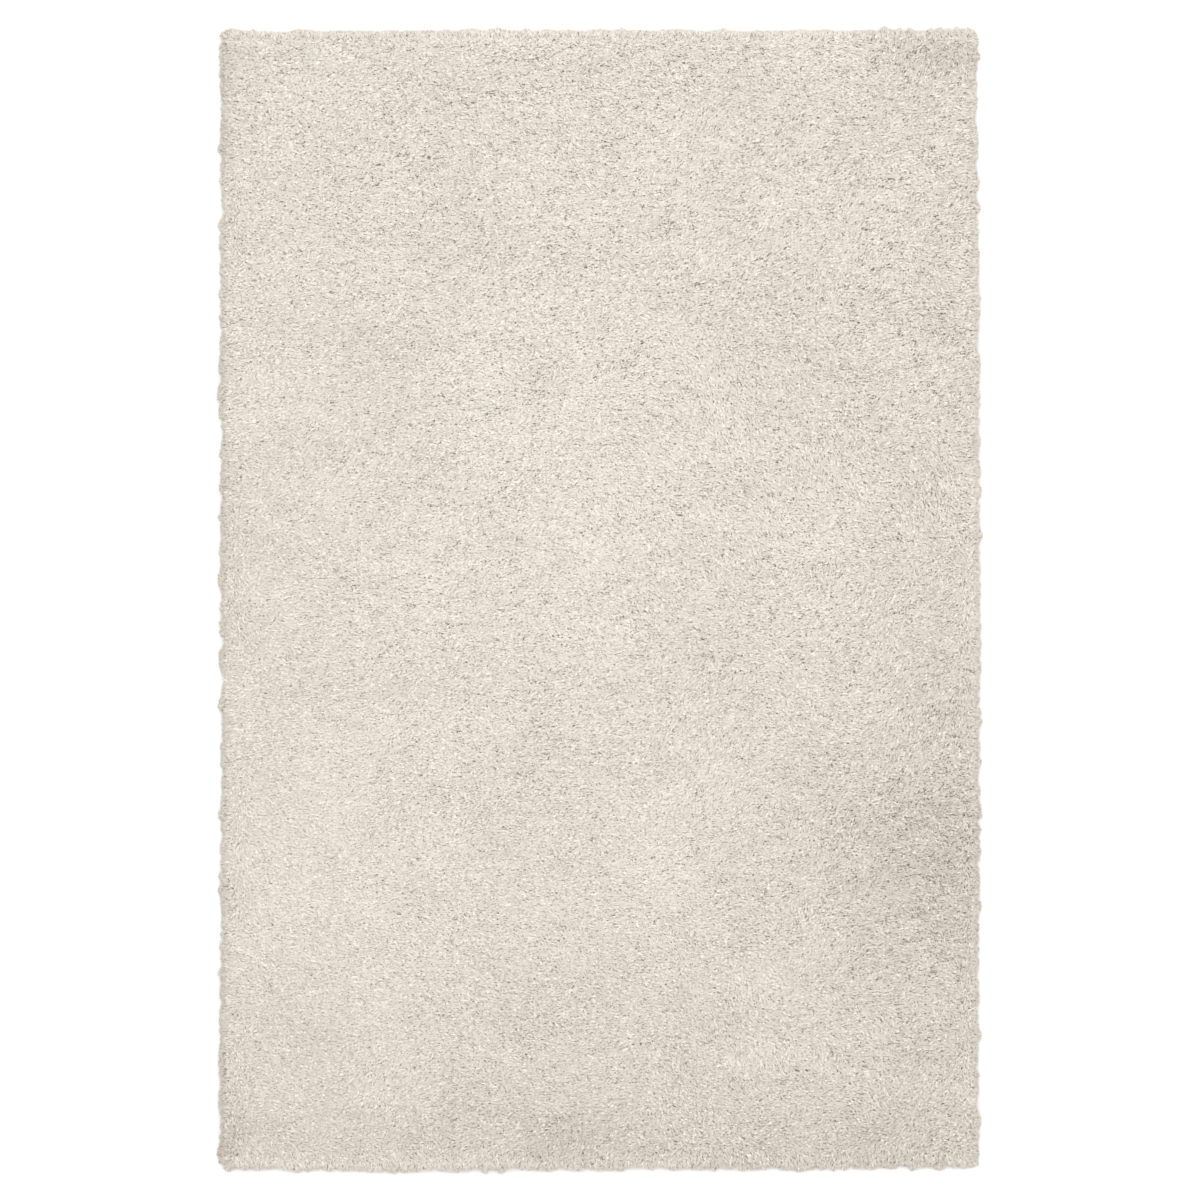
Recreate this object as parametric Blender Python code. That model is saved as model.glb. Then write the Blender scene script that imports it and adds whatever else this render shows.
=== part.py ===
"""A shag rug lying flat on the floor, as one solid.

Metres, +Z up. The origin is on the floor under the middle of the rug, with X
across it and Y along it. The pile and the cloth that it is tufted into are one
piece: a lumpy slab with a flat underside. Locks of the outermost pile grow out
of its side wall, droop towards the floor and stand apart but for their roots.
"""

import math
import random

import bmesh
import bpy
from mathutils import Vector, noise

NAME = "shag_rug"

# The rug as bought, measured to where the outermost pile ends on average.
WIDTH = 1.600
LENGTH = 2.400
THICKNESS = 0.033  # from the floor to the tips of the upright pile
WALL_INSIDE = 0.009  # the side wall stands this far inside those sizes

# The top is a grid, and each of its edge cells carries two columns of the wall.
CELLS_ACROSS = 36
CELLS_ALONG = 54
COLUMN_JITTER = 0.0035  # how far a column's edge is shifted along the rim

# The side wall, from the edge of the top down to the floor.
TOP_EDGE_FALL = 0.006  # the top rolls down this much towards its edge
TOP_EDGE_ROLL = 0.050  # over this distance
SHOULDER_HEIGHT = 0.018
SHOULDER_OUT = 0.012  # the wall is this much wider there than at the edge of the top
FOOT_OUT = 0.009

# How far each side runs outside its straight line, at five places along it from its
# left or near end to its right or far end.
SIDE_BOWS = {
    "left": {"start": 0.0020, "quarter": -0.0008, "half": 0.0, "most": 0.0006, "end": -0.0016},
    "right": {"start": -0.0010, "quarter": 0.0014, "half": 0.0027, "most": 0.0007, "end": -0.0045},
    "near": {"start": 0.0010, "quarter": 0.0032, "half": 0.0005, "most": -0.0004, "end": -0.0040},
    "far": {"start": -0.0008, "quarter": -0.0005, "half": -0.0008, "most": 0.0004, "end": 0.0028},
}
CORNER_RADII = {
    ("left", "near"): 0.026,
    ("right", "near"): 0.014,
    ("left", "far"): 0.002,
    ("right", "far"): 0.002,
}

# The lumps of the pile, as smooth noise: how wide a lump is and how high.
LUMPS = (
    {"across": 0.420, "rise": 0.0022},
    {"across": 0.105, "rise": 0.0046},
    {"across": 0.052, "rise": 0.0026},
)
# Where the pile has been trodden or brushed down.
HOLLOWS = (
    {"x": 0.730, "y": -0.530, "radius": 0.150, "depth": 0.0045},
    {"x": -0.090, "y": -1.130, "radius": 0.095, "depth": 0.0040},
    {"x": 0.660, "y": 1.125, "radius": 0.110, "depth": 0.0030},
    {"x": -0.250, "y": 0.790, "radius": 0.100, "depth": 0.0025},
)

# The locks. Most columns carry one, on the upper or on the lower half of the wall.
LOCK_COUNT = 300
UPPER_SHARE = 0.55
LOCK_REACH = {"upper": (0.013, 0.020), "lower": (0.008, 0.015)}  # outwards from its root
LOCK_LEAN = 0.005  # the most that its tip swings along the rim
UPPER_DROOP = (0.006, 0.014)
LOCK_RINGS = (
    # share of the way out, share of the droop, share of the root's width and height
    {"way": 0.58, "fall": 0.35, "width": 0.72, "height": 0.62},
    {"way": 1.00, "fall": 1.00, "width": 0.34, "height": 0.30},
)
# Places where the edge of the pile stands out more than elsewhere.
TUFTED_OUT = (
    {"x": -0.780, "y": 1.190, "radius": 0.060, "more": 0.0040},
    {"x": 0.740, "y": 1.200, "radius": 0.130, "more": 0.0035},
    {"x": 0.800, "y": 0.880, "radius": 0.060, "more": 0.0030},
    {"x": 0.800, "y": -0.915, "radius": 0.040, "more": 0.0045},
    {"x": 0.800, "y": -1.110, "radius": 0.050, "more": 0.0045},
    {"x": -0.800, "y": -1.160, "radius": 0.040, "more": 0.0030},
)
SEED = 7

YARN_COLOUR = (0.738, 0.680, 0.604, 1.0)
YARN_ROUGHNESS = 0.95


def clear_scene():
    for obj in list(bpy.data.objects):
        bpy.data.objects.remove(obj, do_unlink=True)


def yarn_material():
    material = bpy.data.materials.new("off_white_yarn")
    material.use_nodes = True
    shader = material.node_tree.nodes["Principled BSDF"]
    shader.inputs["Base Color"].default_value = YARN_COLOUR
    shader.inputs["Roughness"].default_value = YARN_ROUGHNESS
    shader.inputs["Metallic"].default_value = 0.0
    return material


def eased(share):
    """A share from 0 to 1, with no corner at either end."""
    share = min(1.0, max(0.0, share))
    return share * share * (3.0 - 2.0 * share)


def side_bow(side, share):
    """How far a side runs outside its straight line, at a share of its length."""
    stations = list(SIDE_BOWS[side].values())
    place = share * (len(stations) - 1)
    first = min(int(place), len(stations) - 2)
    return stations[first] + (stations[first + 1] - stations[first]) * eased(place - first)


def plan_point(across, along):
    """Where a point of the square from -1 to 1 lies on the top of the rug."""
    wall = SHOULDER_OUT + WALL_INSIDE
    x_side = "right" if across > 0.0 else "left"
    y_side = "far" if along > 0.0 else "near"
    half_x = WIDTH / 2 - wall + side_bow(x_side, (along + 1.0) / 2)
    half_y = LENGTH / 2 - wall + side_bow(y_side, (across + 1.0) / 2)
    x, y = abs(across) * half_x, abs(along) * half_y
    radius = CORNER_RADII[x_side, y_side]
    past = Vector((x - half_x + radius, y - half_y + radius))
    if past.x > 0.0 and past.y > 0.0:
        # The corner's square becomes a quarter of a disc.
        past *= max(past) / past.length
        x, y = half_x - radius + past.x, half_y - radius + past.y
    return math.copysign(x, across), math.copysign(y, along)


def near_place(x, y, place):
    """1 in the middle of a place of a table, and 0 outside its radius."""
    return eased(1.0 - math.hypot(x - place["x"], y - place["y"]) / place["radius"])


def pile_height(x, y):
    """The height of the lumpy top over the floor."""
    height = THICKNESS
    for layer, lump in enumerate(LUMPS):
        height += lump["rise"] * noise.noise(Vector((x, y, layer)) / lump["across"])
    for hollow in HOLLOWS:
        height -= hollow["depth"] * near_place(x, y, hollow)
    from_edge = min(WIDTH / 2 - abs(x), LENGTH / 2 - abs(y)) - SHOULDER_OUT - WALL_INSIDE
    return height - TOP_EDGE_FALL * (1.0 - eased(from_edge / TOP_EDGE_ROLL))


def add_top(bm, chance):
    """The lumpy top, and the points of its edge in turn."""
    bmesh.ops.create_grid(bm, x_segments=CELLS_ACROSS, y_segments=CELLS_ALONG, size=1.0)
    edge = [e for e in bm.edges if e.is_boundary]
    bmesh.ops.bisect_edges(bm, edges=edge, cuts=1)
    for point in bm.verts:
        point.co.xy = plan_point(point.co.x, point.co.y)
    rim = [point for point in bm.verts if point.is_boundary]
    rim.sort(key=lambda point: math.atan2(point.co.y, point.co.x))
    along = [(ahead.co - point.co).normalized() for point, ahead in zip(rim, following(rim))]
    for point, way in zip(rim, along):
        point.co += way * chance.uniform(-COLUMN_JITTER, COLUMN_JITTER)
    for point in bm.verts:
        point.co.z = pile_height(point.co.x, point.co.y)
    return rim


def following(loop):
    """The same loop, begun one place further on."""
    return loop[1:] + loop[:1]


def outward(rim):
    """The level way out of the rug at each point of its rim. It is longer where the rim
    turns, so that a wall drawn along it keeps its width at the corners."""
    square_out = []
    for point, ahead in zip(rim, following(rim)):
        along = ahead.co - point.co
        square_out.append(Vector((along.y, -along.x, 0.0)).normalized())
    ways = []
    for before, after in zip(square_out[-1:] + square_out[:-1], square_out):
        ways.append((before + after) / (1.0 + before.dot(after)))
    return ways


def open_edges(bm, loop):
    points = set(loop)
    return [e for e in bm.edges if e.is_boundary and points.issuperset(e.verts)]


def add_wall_row(bm, upper, places):
    """Draws a loop of open edges out to new places. Returns the new points and faces in turn."""
    made = set(bmesh.ops.extrude_edge_only(bm, edges=open_edges(bm, upper))["geom"])
    lower = []
    for point, place in zip(upper, places):
        ends = [edge.other_vert(point) for edge in point.link_edges]
        lower.append(next(end for end in ends if end in made))
        lower[-1].co = place
    faces = []
    for point, ahead in zip(lower, following(lower)):
        faces.append(next(face for face in point.link_faces if ahead in face.verts))
    return lower, faces


def add_wall(bm, rim, ways):
    """The side wall, as an upper and a lower row of faces, and its foot on the floor."""
    edge = [point.co.copy() for point in rim]
    shoulder_places = [
        Vector((*(place + way * SHOULDER_OUT).xy, SHOULDER_HEIGHT)) for place, way in zip(edge, ways)
    ]
    foot_places = [Vector((*(place + way * FOOT_OUT).xy, 0.0)) for place, way in zip(edge, ways)]
    shoulder, upper_row = add_wall_row(bm, rim, shoulder_places)
    foot, lower_row = add_wall_row(bm, shoulder, foot_places)
    return foot, upper_row, lower_row


def add_underside(bm, foot):
    underside = bmesh.ops.contextual_create(bm, geom=open_edges(bm, foot))["faces"]
    middle = bmesh.ops.poke(bm, faces=underside)["verts"][0]
    middle.co = (0.0, 0.0, 0.0)


def lock_plan(columns, chance):
    """For each column of the wall: "upper", "lower" or None, with LOCK_COUNT locks in all."""
    plan = ["upper" if chance.random() < UPPER_SHARE else "lower" for _ in range(columns)]
    for bare in chance.sample(range(columns), columns - LOCK_COUNT):
        plan[bare] = None
    return plan


def add_lock(bm, root, row, out, chance):
    """Draws one lock out of its root face: it narrows ring by ring and droops."""
    middle = root.calc_center_median()
    aside = Vector((-root.normal.y, root.normal.x, 0.0)).normalized()
    stands_out = sum(place["more"] * near_place(middle.x, middle.y, place) for place in TUFTED_OUT)
    reach = chance.uniform(*LOCK_REACH[row]) + stands_out
    lean = chance.uniform(-LOCK_LEAN, LOCK_LEAN)
    droop = chance.uniform(*UPPER_DROOP) if row == "upper" else 0.0
    from_middle = [corner.co - middle for corner in root.verts]
    face = root
    for ring in LOCK_RINGS:
        face = bmesh.ops.extrude_discrete_faces(bm, faces=[face])["faces"][0]
        centre = middle + out * reach * ring["way"] + aside * lean * ring["way"] ** 2
        centre.z -= droop * ring["fall"]
        for corner, apart in zip(face.verts, from_middle):
            corner.co = centre + aside * apart.dot(aside) * ring["width"]
            corner.co.z += apart.z * ring["height"]
        lowest = min(corner.co.z for corner in face.verts)
        # A lower lock lies on the floor, and no lock goes under it.
        settle = lowest if row == "lower" else min(lowest, 0.0)
        for corner in face.verts:
            corner.co.z -= settle


def centre_on_origin(bm):
    """Puts the middle of the rug's box over the origin."""
    xs = [point.co.x for point in bm.verts]
    ys = [point.co.y for point in bm.verts]
    middle = Vector(((min(xs) + max(xs)) / 2, (min(ys) + max(ys)) / 2, 0.0))
    bmesh.ops.translate(bm, verts=bm.verts, vec=-middle)


def rug_mesh():
    chance = random.Random(SEED)
    bm = bmesh.new()
    rim = add_top(bm, chance)
    ways = outward(rim)
    foot, upper_row, lower_row = add_wall(bm, rim, ways)
    add_underside(bm, foot)
    bmesh.ops.recalc_face_normals(bm, faces=bm.faces)
    lock_ways = [(way + ahead).normalized() for way, ahead in zip(ways, following(ways))]
    plan = lock_plan(len(rim), chance)
    for row, upper, lower, out in zip(plan, upper_row, lower_row, lock_ways):
        if row:
            add_lock(bm, upper if row == "upper" else lower, row, out, chance)
    centre_on_origin(bm)
    bmesh.ops.recalc_face_normals(bm, faces=bm.faces)
    mesh = bpy.data.meshes.new(NAME)
    bm.to_mesh(mesh)
    bm.free()
    mesh.shade_smooth()
    mesh.set_sharp_from_angle(angle=math.radians(50.0))
    return mesh


def main():
    clear_scene()
    collection = bpy.data.collections.new("shag_rug_parts")
    bpy.context.scene.collection.children.link(collection)
    mesh = rug_mesh()
    mesh.materials.append(yarn_material())
    collection.objects.link(bpy.data.objects.new(NAME, mesh))


main()
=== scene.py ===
"""The looks of the shag rug: its yarn pile, strand by strand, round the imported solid."""

import math

import bpy
import numpy as np
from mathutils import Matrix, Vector
from mathutils.bvhtree import BVHTree


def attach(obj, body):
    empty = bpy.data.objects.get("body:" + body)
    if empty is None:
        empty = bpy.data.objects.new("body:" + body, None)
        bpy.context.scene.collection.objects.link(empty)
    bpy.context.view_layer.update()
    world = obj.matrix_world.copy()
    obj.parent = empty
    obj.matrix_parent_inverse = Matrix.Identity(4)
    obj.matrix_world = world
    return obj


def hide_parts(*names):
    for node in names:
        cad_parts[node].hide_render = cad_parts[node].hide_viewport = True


# Sizes in metres. The outline is where the outermost pile ends on average.
WIDTH, LENGTH = 1.600, 2.400
SEED = 11
# The seeds of the smooth noise, each for its own use. The parts of a list count on from theirs.
NOISE = {"swirl": 3, "side": 6, "ragged": 20, "bed": 31, "cloth": 41, "blotches": 60, "streaks": 70}
NOISE_TABLE = 256
FACES = 0.7  # a way out faces a side if more than this part of it points there
TINY = 1e-6

# The upright pile. Each strand comes up out of the bed, bends over at its crest and dips to a tip.
STRANDS = 408000  # over the whole rug, of which those at the rim are left out
PIECES = 6
PLACE_SPREAD = 0.32  # how far a strand can be from its even place, in pitches
RIM_OVERLAP = 0.0015  # the upright pile goes this far over the roll at the rim
YARN_WIDTH = (0.0026, 0.0038)
ROOT_DEPTH = 0.010
RISE_OUT = (0.0018, 0.0035)  # seen from above, from its root to its crest
END_OUT = (0.0058, 0.0098)  # and on from its crest to its tip
CREST_SPREAD = 0.0016
TIP_DROP = (0.001, 0.0035)
TILT_SPREAD = 0.08
TURN_SPREAD, TIP_TURN_SPREAD = 0.32, 0.3  # of the whole strand, and of its tip from there

# How the pile leans: in swirls, to the right or, where the noise is above a limit, to the left.
SWIRLS = ({"wide": 0.24, "turn": 0.7}, {"wide": 0.060, "turn": 0.6})
SWIRL_LEAST = 0.5
SWIRL_RIGHT = {"from": -0.1, "over": 0.6, "more": 0.7}
SWIRL_NEAR = {"from": -0.7, "over": 0.4, "more": 0.5}
LEFTWARD = {"wide": 0.20, "spread": 0.2, "limit": 0.1}
# How far in from each side the pile leans out over it.
EDGE_LEAN = {"left": 0.045, "right": 0.030, "near": 0.045, "far": 0.022}
EDGE_LEAN_SPREAD = 0.3

# Small dark pits in the pile: small strands painted dark and lifted a little, as painted shade where
# the pile opens. And dark gaps along one side of a strand: a line of painted shade beside it.
PIT_SHARE = 0.011
PIT_WIDTH, PIT_LENGTH, PIT_SHADE = (0.45, 0.8), (0.35, 0.7), (-1.4, -0.8)
PIT_RISE = 0.0003
GAP_SHARE, GAP_SHADE = 0.16, (0.7, 1.3)
GAP_FROM, GAP_TO = 0.25, 0.45  # it sets in between these shares of the way to the strand's side
GAP_FADE = (0.10, 0.30)  # it fades out this far from the crest, in strand lengths
# The painted shade of the pits and gaps comes in short streaks across the rug. How many there are
# changes with the
# place: for each metre to the right and to the far end, with the painted dark patches, near one place
# at the right, and down to less at the left side and at every edge.
STREAK = {"wide": 0.0045, "stretch": 4.0}
DARKNESS = {"middle": 1.8, "right": 0.4, "far": 1.0, "patches": 2, "least": 0.3}
SPECKS = {"x": 0.72, "y": -0.54, "radius": 0.28, "more": 1.4}
LEFT_CLEAR = {"reach": 0.3, "less": 1.2}
EDGE_CLEAR = {"reach": 0.020, "less": 0.75}

# The tone of the yarn: 1 is the lightest, 0 is dark, and the range goes a little below that.
OWN_TONE, TONE_SPREAD = 0.757, 0.04
# The roots, the tips and the bed are painted darker than the crests: painted shade, deeper in the
# pile.
ROOT_SHADE, TIP_SHADE, SHADED_BED_TONE = -0.15, -0.05, 0.66
# A share of strands is painted lighter: painted highlight, as on crests that catch the light.
HIGHLIGHT_SHARE, HIGHLIGHT_TONE = 0.09, (0.12, 0.36)
TONE_RANGE = (-0.3, 1)
ZERO_TONE = 0.25  # where the tone 0 is on the ramp of the yarn's colours

# The bed: the matted yarn under the crests.
BED_PITCH = 0.0110
BED_INSIDE = 0.020
BED_DEPTH = 0.0055  # the bed lies this far under the crests
BED_LUMPS = {"wide": 0.011, "high": 0.0015}
BED_CORNER = 0.009  # the bed's corners are rounded this far inside the rug's
# Where the bed runs down to the floor at the rim, and how far it goes in and out with the edge.
BED_SKIRT = (
    {"out": 0.004, "height": 0.0185, "follow": 0.30},
    {"out": 0.007, "height": 0.0155, "follow": 0.50},
    {"out": 0.010, "height": 0.0100, "follow": 0.75},
    {"out": 0.011, "height": 0.0015, "follow": 0.85},
)
BED_FOLLOWS = (-0.011, 0.003)
BED_BESIDE = 0.010  # it keeps behind the edge this far along to both sides

# The ground cloth.
CLOTH_INSIDE, CLOTH_THICK = 0.016, 0.0018
CLOTH_GRID = (48, 72)
CLOTH_LUMPS = {"wide": 0.08, "high": 0.0003}

# How far each side runs outside its straight line, at five places along it from its left or
# near end to its right or far end, as in the solid.
SIDE_BOWS = {
    "left": (0.0020, -0.0008, 0.0, 0.0006, -0.0016),
    "right": (-0.0010, 0.0014, 0.0027, 0.0007, -0.0045),
    "near": (0.0010, 0.0032, 0.0005, -0.0004, -0.0040),
    "far": (-0.0008, -0.0005, -0.0008, 0.0004, 0.0028),
}
CORNER_RADII = {"left near": 0.027, "right near": 0.018, "right far": 0.010, "left far": 0.012}

# At the rim the pile rolls over and down to the floor, in rows of strands that lean out.
ROLL_WIDTH = 0.013
ROLL_INSIDE = 0.0035  # the roll lies this far inside the tips
ROLL_ROWS = 11
ROLL_STEP = 0.0037
ROLL_LENGTH = (0.006, 0.010)
ROLL_DROP = (-0.0010, 0.0030)
ROLL_LIFT = 0.40  # 1 where the strands follow the roll, 0 where they stand straight out
ROLL_ROOT = {"behind": 0.003, "under": 0.008}  # from the crest to the root
ROLL_SPREAD, ROLL_SWING = 0.0008, 0.0045  # of a strand outwards, and of its tip along the edge
ROLL_TILT = 0.12
ROLL_FOLLOWS = 0.25  # how far the top of the roll goes in and out with the edge: 1 at the floor
# The roll's strands are painted a little darker, and the lowest ones darker still near the floor:
# painted shade.
ROLL_SHADE, ROLL_TONE_SPREAD = -0.05, 0.07
FOOT_SHADE = (-0.24, 0.0)  # the change of tone of the lowest strands
FOOT_POWER = 6  # how close to the floor that change stays
RIM_TOP = 0.026  # the height of the pile near the rim
LOWEST, LOWEST_TIP = 0.0010, (0.0012, 0.0022)  # above the floor
RAGGED = ({"across": 0.012, "out": 0.0060}, {"across": 0.030, "out": 0.0042})
RAGGED_FAR = 0.6  # the far side is less ragged than the others
# Places where the edge stands out, or lies back, more than elsewhere. The narrow ones are tufts.
EDGE_LUMPS = (
    {"x": -0.800, "y": 1.158, "radius": 0.018, "out": 0.0050},
    {"x": -0.800, "y": 1.050, "radius": 0.026, "out": -0.0035},
    {"x": -0.800, "y": 0.442, "radius": 0.016, "out": 0.0045},
    {"x": -0.800, "y": 0.354, "radius": 0.018, "out": -0.0045},
    {"x": -0.800, "y": 0.690, "radius": 0.028, "out": -0.0040},
    {"x": -0.800, "y": 0.500, "radius": 0.030, "out": 0.0030},
    {"x": -0.800, "y": 0.280, "radius": 0.028, "out": -0.0050},
    {"x": -0.800, "y": 0.100, "radius": 0.040, "out": 0.0030},
    {"x": -0.800, "y": -0.020, "radius": 0.028, "out": -0.0030},
    {"x": -0.800, "y": -0.158, "radius": 0.018, "out": -0.0040},
    {"x": -0.800, "y": -0.520, "radius": 0.026, "out": 0.0065},
    {"x": -0.800, "y": -0.730, "radius": 0.030, "out": -0.0030},
    {"x": -0.800, "y": -0.905, "radius": 0.040, "out": 0.0065},
    {"x": -0.800, "y": -1.046, "radius": 0.018, "out": 0.0030},
    {"x": 0.800, "y": 1.152, "radius": 0.020, "out": 0.0075},
    {"x": 0.800, "y": 1.084, "radius": 0.028, "out": -0.0040},
    {"x": 0.800, "y": 1.035, "radius": 0.026, "out": -0.0040},
    {"x": 0.800, "y": 0.632, "radius": 0.016, "out": 0.0040},
    {"x": 0.800, "y": 0.330, "radius": 0.026, "out": 0.0045},
    {"x": 0.800, "y": 0.180, "radius": 0.026, "out": 0.0045},
    {"x": 0.800, "y": 0.050, "radius": 0.040, "out": 0.0035},
    {"x": 0.800, "y": -0.046, "radius": 0.018, "out": 0.0040},
    {"x": 0.800, "y": -0.120, "radius": 0.026, "out": -0.0035},
    {"x": 0.800, "y": -0.780, "radius": 0.060, "out": -0.0030},
    {"x": 0.800, "y": -0.918, "radius": 0.016, "out": 0.0055},
    {"x": 0.800, "y": -1.010, "radius": 0.040, "out": -0.0035},
    {"x": 0.800, "y": -1.109, "radius": 0.024, "out": 0.0075},
    {"x": -0.680, "y": 1.200, "radius": 0.150, "out": 0.0020},
    {"x": -0.060, "y": 1.200, "radius": 0.050, "out": 0.0030},
    {"x": 0.060, "y": 1.200, "radius": 0.450, "out": 0.0040},
    {"x": -0.773, "y": 1.200, "radius": 0.018, "out": 0.0070},
    {"x": -0.638, "y": 1.200, "radius": 0.014, "out": 0.0050},
    {"x": -0.276, "y": 1.200, "radius": 0.014, "out": 0.0050},
    {"x": -0.211, "y": 1.200, "radius": 0.014, "out": 0.0050},
    {"x": 0.427, "y": 1.200, "radius": 0.012, "out": 0.0050},
    {"x": 0.675, "y": 1.200, "radius": 0.012, "out": -0.0030},
    {"x": -0.748, "y": 1.200, "radius": 0.004, "out": 0.0040},
    {"x": -0.733, "y": 1.200, "radius": 0.004, "out": 0.0030},
    {"x": 0.000, "y": 1.200, "radius": 0.006, "out": 0.0030},
    {"x": 0.046, "y": 1.200, "radius": 0.003, "out": 0.0050},
    {"x": 0.604, "y": 1.200, "radius": 0.006, "out": 0.0080},
    {"x": 0.634, "y": 1.200, "radius": 0.003, "out": 0.0060},
    {"x": 0.658, "y": 1.200, "radius": 0.003, "out": 0.0075},
    {"x": 0.701, "y": 1.200, "radius": 0.004, "out": 0.0050},
    {"x": 0.722, "y": 1.200, "radius": 0.003, "out": 0.0100},
    {"x": 0.738, "y": 1.200, "radius": 0.003, "out": 0.0055},
    {"x": 0.757, "y": 1.200, "radius": 0.003, "out": 0.0085},
    {"x": 0.779, "y": 1.200, "radius": 0.006, "out": 0.0065},
    {"x": -0.740, "y": -1.200, "radius": 0.030, "out": -0.0035},
    {"x": -0.590, "y": -1.200, "radius": 0.026, "out": -0.0030},
    {"x": -0.340, "y": -1.200, "radius": 0.026, "out": -0.0045},
    {"x": -0.306, "y": -1.200, "radius": 0.016, "out": 0.0040},
    {"x": -0.020, "y": -1.200, "radius": 0.016, "out": 0.0040},
    {"x": 0.090, "y": -1.200, "radius": 0.020, "out": -0.0040},
    {"x": 0.150, "y": -1.200, "radius": 0.040, "out": -0.0045},
    {"x": 0.420, "y": -1.200, "radius": 0.016, "out": 0.0025},
    {"x": 0.560, "y": -1.200, "radius": 0.030, "out": -0.0040},
)

# Painted light and shade where the leaning pile shows darker or lighter in soft patches: place, half
# width and height, change.
LEAN_LIGHT_PATCHES = (
    {"x": 0.74, "y": -0.56, "across": 0.26, "along": 0.26, "tone": -0.15},
    {"x": 0.85, "y": 0.20, "across": 0.22, "along": 0.90, "tone": -0.055},
    {"x": 0.70, "y": 1.15, "across": 0.14, "along": 0.05, "tone": -0.12},
    {"x": 0.58, "y": -1.14, "across": 0.26, "along": 0.08, "tone": -0.05},
    {"x": -0.09, "y": -1.13, "across": 0.10, "along": 0.08, "tone": -0.07},
    {"x": 0.00, "y": -1.20, "across": 2.00, "along": 0.12, "tone": -0.08},
    {"x": 0.10, "y": -1.00, "across": 1.20, "along": 0.26, "tone": -0.065},
    {"x": -0.76, "y": 1.16, "across": 0.06, "along": 0.06, "tone": -0.06},
    {"x": -0.27, "y": 0.84, "across": 0.07, "along": 0.10, "tone": -0.03},
    {"x": -0.52, "y": 0.56, "across": 0.12, "along": 0.08, "tone": -0.04},
    {"x": -0.14, "y": -0.36, "across": 0.07, "along": 0.06, "tone": -0.03},
    {"x": 0.37, "y": 0.07, "across": 0.06, "along": 0.05, "tone": -0.02},
    {"x": -0.59, "y": -0.93, "across": 0.07, "along": 0.06, "tone": -0.05},
    {"x": -0.45, "y": -0.19, "across": 0.26, "along": 0.03, "tone": -0.03},
    {"x": -0.08, "y": 0.34, "across": 0.26, "along": 0.32, "tone": 0.04},
    {"x": -0.24, "y": 0.43, "across": 0.09, "along": 0.20, "tone": 0.05},
    {"x": -0.73, "y": 0.39, "across": 0.05, "along": 0.09, "tone": 0.04},
    {"x": 0.14, "y": -0.53, "across": 0.14, "along": 0.20, "tone": 0.03},
    {"x": 0.12, "y": -0.02, "across": 0.10, "along": 0.08, "tone": 0.04},
    {"x": -0.80, "y": 0.05, "across": 0.22, "along": 0.90, "tone": -0.04},
    {"x": -0.73, "y": -1.14, "across": 0.08, "along": 0.07, "tone": -0.04},
    {"x": -0.56, "y": -0.50, "across": 0.22, "along": 0.26, "tone": 0.02},
    {"x": 0.12, "y": 0.92, "across": 0.40, "along": 0.22, "tone": 0.035},
)
# Painted light and shade at each side's edge, as the light falls on that side: the change of tone, and
# how far in it reaches.
BORDER_LIGHTING = {
    "left": {"tone": -0.11, "reach": 0.030},
    "right": {"tone": 0.03, "reach": 0.030},
    "near": {"tone": 0.06, "reach": 0.014},
    "far": {"tone": 0.08, "reach": 0.030},
}
# Lumps of chance tone: how wide they are, how much longer across the rug, and how strong.
BLOTCHES = (
    {"wide": 0.018, "stretch": 2.5, "tone": 0.012},
    {"wide": 0.040, "stretch": 1.8, "tone": 0.018},
    {"wide": 0.080, "stretch": 1.4, "tone": 0.022},
    {"wide": 0.160, "stretch": 1.0, "tone": 0.014},
)

# The studio, and the square picture, in which the rug is RUG_PIXELS wide.
FLOOR_SIZE = 40
WORLD_LIGHT = 1.05
KEY_LIGHT, KEY_SIZE, KEY_PLACE = 150, 3.5, (-0.5, 1.2, 7.0)
PICTURE_PIXELS, RUG_PIXELS = 1200, 760.3
TIPS_HEIGHT = 0.025  # where the rug's outline is seen
CAMERA_PLACE = (0.0012, 0.001, 12.0)
SENSOR_WIDTH = 36

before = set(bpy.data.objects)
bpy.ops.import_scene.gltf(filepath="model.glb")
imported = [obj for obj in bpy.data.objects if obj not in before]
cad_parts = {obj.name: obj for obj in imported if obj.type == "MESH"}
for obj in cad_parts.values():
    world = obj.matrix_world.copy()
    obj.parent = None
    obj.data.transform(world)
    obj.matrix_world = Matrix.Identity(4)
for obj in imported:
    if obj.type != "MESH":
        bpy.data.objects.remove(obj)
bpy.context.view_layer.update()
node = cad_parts["shag_rug"]
solid = BVHTree.FromPolygons(
    [v.co for v in node.data.vertices], [p.vertices for p in node.data.polygons]
)
chance = np.random.default_rng(SEED)


# ---------------------------------------------------------------- fields over the rug


def smooth_noise(x, y, across, seed):
    """Smooth chance numbers from about -1 to 1, in lumps about `across` wide."""
    table = np.random.default_rng(seed).uniform(-1, 1, (NOISE_TABLE, NOISE_TABLE))
    u, v = x / across, y / across
    i, j = np.floor(u).astype(int), np.floor(v).astype(int)
    s, t = u - i, v - j
    s, t = s * s * (3 - 2 * s), t * t * (3 - 2 * t)
    left, right = i % NOISE_TABLE, (i + 1) % NOISE_TABLE
    row, next_row = j % NOISE_TABLE, (j + 1) % NOISE_TABLE
    near = table[left, row] * (1 - s) + table[right, row] * s
    far = table[left, next_row] * (1 - s) + table[right, next_row] * s
    return near * (1 - t) + far * t


def top_height(x, y):
    """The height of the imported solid's top at each place, or of the pile near the rim outside it."""
    down, well_above = Vector((0, 0, -1)), 1.0
    heights = np.full(len(x), RIM_TOP)
    for k, (a, b) in enumerate(zip(x.tolist(), y.tolist())):
        hit = solid.ray_cast(Vector((a, b, well_above)), down)[0]
        if hit is not None:
            heights[k] = hit.z
    return heights


def bow(side, share):
    """How far a side runs outside its straight line, at shares of its length."""
    return np.interp(share, np.linspace(0, 1, len(SIDE_BOWS[side])), SIDE_BOWS[side])


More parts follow.
